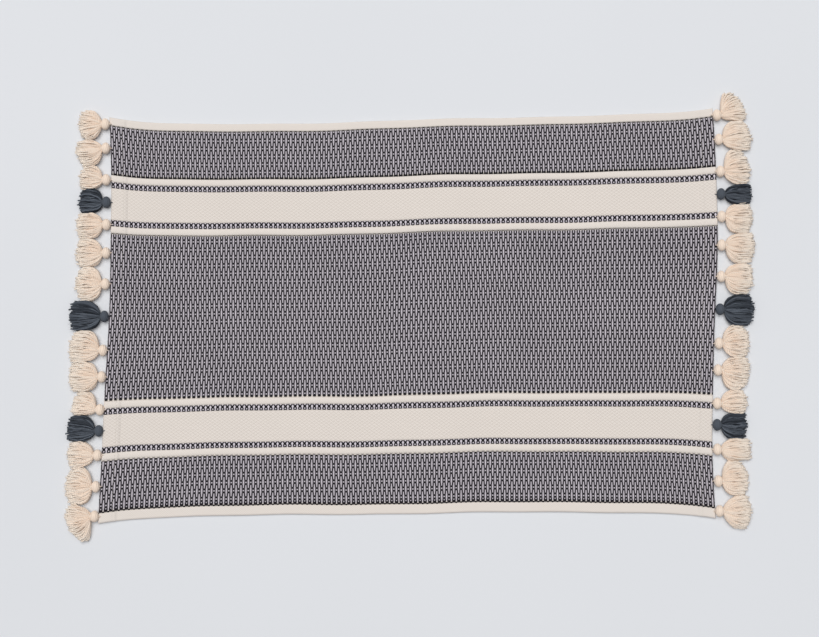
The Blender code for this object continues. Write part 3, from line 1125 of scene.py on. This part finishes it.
@functools.cache
def cream_material(name, painted_shade_depth, height_of):
    """Undyed cotton: a base colour with slight patches, and a weave given by height_of whose low places
    get painted shade.
    """
    nodes = Nodes(name)
    column, row, _, place = weave_inputs(nodes)
    weave = height_of(nodes, column, row)
    variation = yarn_variation(nodes, place, 0.05)
    # Painted shade: where the weave is low, the cream is coloured darker, as if in shadow.
    weave_painted_shade = nodes.mix(nodes.ramp(weave, 0.45, -0.55), CREAM, CREAM_PAINTED_SHADE)
    base = nodes.mix(painted_shade_depth, CREAM, weave_painted_shade)
    drawn_out = nodes.vector(nodes.mul(column, COLUMN_MM * 0.5), row)
    slubs = nodes.ramp(nodes.noise(drawn_out, 1.1, 2.0), 0.60, 0.75)
    base = nodes.mix(nodes.mul(slubs, 0.12), base, SLUB)
    colour = nodes.brighten(base, variation)
    fibres = nodes.noise(place, 2.2, 3.0)
    nodes.bump(nodes.add(nodes.mul(weave, 0.6), nodes.mul(fibres, 0.7)), 0.5, 0.0003)
    return nodes.finish(colour, CLOTH_ROUGHNESS, 0.15)


def twill_height(nodes, column, row):
    """Fine diagonal floats that cross in a faint diamond."""
    along = nodes.math("COSINE", nodes.mul(column, math.pi))
    across = nodes.math("COSINE", nodes.mul(row, 2 * math.pi / TWILL_ROW_MM))
    ribs = nodes.math("COSINE", nodes.add(nodes.mul(column, 2 * math.pi), nodes.mul(row, 1.9)))
    return nodes.add(nodes.mul(nodes.mul(along, across), 0.6), nodes.mul(ribs, 0.3))


def cord_height(nodes, column, row):
    """Steep slanting wraps over a cord."""
    lean = nodes.add(nodes.mul(column, 2 * math.pi), nodes.mul(row, 2 * math.pi / CORD_ROW_MM))
    return nodes.math("COSINE", lean)


def plain_height(nodes, column, row):
    """A plain weave, over and under."""
    along = nodes.math("COSINE", nodes.mul(column, 2 * math.pi))
    return nodes.mul(along, nodes.math("COSINE", nodes.mul(row, 2 * math.pi / PLAIN_ROW_MM)))


def yarn_material(name, colour, shade, light, tip_colour, tip_paleness, evenness=0.62, sheen=0.20):
    """Soft yarn of three plies.  Each strand has its own tone, which turns to tip_colour at its tip."""
    nodes = Nodes(name)
    along, around = nodes.uv("yarn")
    strand = nodes.math("FLOOR", nodes.mul(along, 1 / STRAND_SHIFT_MM))
    white = nodes.new("ShaderNodeTexWhiteNoise", noise_dimensions="1D")
    nodes.feed(white.inputs["W"], strand)
    tone = nodes.mix(nodes.ramp(white.outputs["Value"], 0.0, 1.0), shade, light)
    tone = nodes.mix(evenness, tone, colour)
    from_neck = nodes.sub(along, nodes.mul(strand, STRAND_SHIFT_MM))
    tone = nodes.mix(nodes.ramp(from_neck, 16.0, 38.0, 0.0, tip_paleness), tone, tip_colour)
    ply = nodes.math("SINE", nodes.add(nodes.mul(around, 3 * 2 * math.pi), nodes.mul(along, 1.9)))
    fuzz = nodes.noise(nodes.vector(along, nodes.mul(around, 6.0)), 1.4, 3.0)
    streak = nodes.noise(nodes.vector(nodes.mul(along, 0.14), nodes.mul(around, 5.0)), 1.5, 2.0)
    # Painted shade: the grooves between the plies are coloured up to a tenth darker.
    groove = nodes.ramp(ply, -1.0, -0.2, 0.90, 1.0)
    amount = nodes.mul(groove, nodes.add(0.93, nodes.mul(streak, 0.16)))
    nodes.bump(nodes.add(nodes.mul(ply, 0.7), nodes.mul(fuzz, 0.9)), 0.6, 0.0005)
    return nodes.finish(nodes.brighten(tone, amount), YARN_ROUGHNESS, sheen)


CLOTH_MATERIALS = {
    "field": field_material,
    "braid": braid_material,
    # The number given to each cream material is how much painted shade the low places of its weave get.
    "twill": lambda width_mm: cream_material("cream_twill", 0.75, twill_height),
    "cord": lambda width_mm: cream_material("cream_cord", 0.15, cord_height),
    "plain": lambda width_mm: cream_material("cream_border", 0.35, plain_height),
}
YARN_MATERIALS = {
    "cream": yarn_material(
        "cream_tassel",
        colour=(0.97, 0.795, 0.655, 1),
        shade=(0.90, 0.69, 0.54, 1),
        light=(0.98, 0.88, 0.78, 1),
        tip_colour=(0.95, 0.88, 0.79, 1),
        tip_paleness=0.6,
    ),
    "dark": yarn_material(
        "dark_tassel",
        colour=(0.040, 0.050, 0.068, 1),
        shade=(0.004, 0.006, 0.010, 1),
        light=(0.165, 0.190, 0.230, 1),
        tip_colour=(0.060, 0.072, 0.092, 1),
        tip_paleness=0.3,
        evenness=0.30,
        sheen=0.04,
    ),
    "thread": yarn_material(
        "hem_thread",
        colour=(0.82, 0.76, 0.705, 1),
        shade=(0.80, 0.74, 0.685, 1),
        light=(0.84, 0.78, 0.725, 1),
        tip_colour=(0.82, 0.76, 0.705, 1),
        tip_paleness=0.0,
    ),
}


# ---- room


FLOOR_TONES = ((0.763, 0.783, 0.820, 1), (0.778, 0.798, 0.835, 1))
FLOOR_HALF = 40.0
KEY_STRENGTH = 2.05
KEY_SPREAD = math.radians(50)
KEY_TURN = (math.radians(-14), math.radians(-8), 0)
KEY_COLOUR = (1.0, 0.985, 0.96)
FILL_PLACE = (0, 1.6, 2.6)
FILL_AIM = (0, 0.3, 0)
FILL_SIZE = (2.6, 1.4)
FILL_WATTS = 9
WORLD_COLOUR = (0.94, 0.96, 1.0, 1)
WORLD_LIGHT = 0.27
WORLD_SEEN = 0.78  # the world's strength where the camera looks straight at it
CAMERA_DISTANCE = 2.0
CAMERA_AIM = (-0.0011, -0.0044, 0)
CAMERA_LEAN = math.radians(2.87)
CAMERA_ROLL = math.radians(-0.67)
SEEN_WIDTH = 1.2178
SENSOR_MM = 36


def build_floor():
    """A wide pale floor with the faintest unevenness."""
    nodes = Nodes("pale_floor")
    place = nodes.new("ShaderNodeTexCoord").outputs["Object"]
    patches = nodes.ramp(nodes.noise(place, 1.3, 2.0), 0.3, 0.7)
    nodes.bump(nodes.noise(place, 260.0, 2.0), 0.08, 0.0003)
    corners = [(x * FLOOR_HALF, y * FLOOR_HALF, 0) for x, y in ((-1, -1), (1, -1), (1, 1), (-1, 1))]
    mesh = bpy.data.meshes.new("floor")
    mesh.from_pydata(corners, [], [(0, 1, 2, 3)])
    mesh.materials.append(nodes.finish(nodes.mix(patches, *FLOOR_TONES), 0.75, 0.0))
    new_object("floor", mesh)


def build_lights():
    """A broad overhead sun, and a soft fill from behind."""
    sun = bpy.data.lights.new("key", "SUN")
    sun.energy = KEY_STRENGTH
    sun.angle = KEY_SPREAD
    sun.color = KEY_COLOUR
    new_object("key", sun).rotation_euler = KEY_TURN
    area = bpy.data.lights.new("fill", "AREA")
    area.shape = "RECTANGLE"
    area.size, area.size_y = FILL_SIZE
    area.energy = FILL_WATTS
    fill = new_object("fill", area)
    fill.location = FILL_PLACE
    direction = Vector(FILL_AIM) - Vector(FILL_PLACE)
    fill.rotation_euler = direction.to_track_quat("-Z", "Y").to_euler()


def build_world():
    """Even pale surroundings that the camera sees brighter than the light that they give."""
    world = bpy.data.worlds.new("studio")
    world.use_nodes = True
    background = world.node_tree.nodes["Background"]
    background.inputs["Color"].default_value = WORLD_COLOUR
    seen_straight = world.node_tree.nodes.new("ShaderNodeLightPath").outputs["Is Camera Ray"]
    strength = world.node_tree.nodes.new("ShaderNodeMapRange")
    strength.inputs["To Min"].default_value = WORLD_LIGHT
    strength.inputs["To Max"].default_value = WORLD_SEEN
    world.node_tree.links.new(seen_straight, strength.inputs["Value"])
    world.node_tree.links.new(strength.outputs["Result"], background.inputs["Strength"])
    bpy.context.scene.world = world
    bpy.context.scene.view_settings.view_transform = "Standard"
    bpy.context.scene.view_settings.look = "None"


def build_camera():
    """Nearly overhead, leaning a little to the near side, and turned a hair."""
    data = bpy.data.cameras.new("camera")
    data.sensor_width = SENSOR_MM
    data.lens = SENSOR_MM * CAMERA_DISTANCE / SEEN_WIDTH
    camera = new_object("camera", data)
    turn = Matrix.Rotation(CAMERA_ROLL, 4, "Z") @ Matrix.Rotation(CAMERA_LEAN, 4, "X")
    back = Matrix.Translation((0, 0, CAMERA_DISTANCE))
    camera.matrix_world = Matrix.Translation(CAMERA_AIM) @ turn @ back
    bpy.context.scene.camera = camera


build_camera()
build_lights()
build_world()
build_floor()
declare_sheets(build_cloth())
for each_side in (LEFT, RIGHT):
    build_stitches(each_side)
    build_loops(each_side, False)
    build_loops(each_side, True)
    for tassel_number in range(len(TASSEL_PLACES)):
        build_tassel(each_side, tassel_number)

bpy.context.view_layer.update()
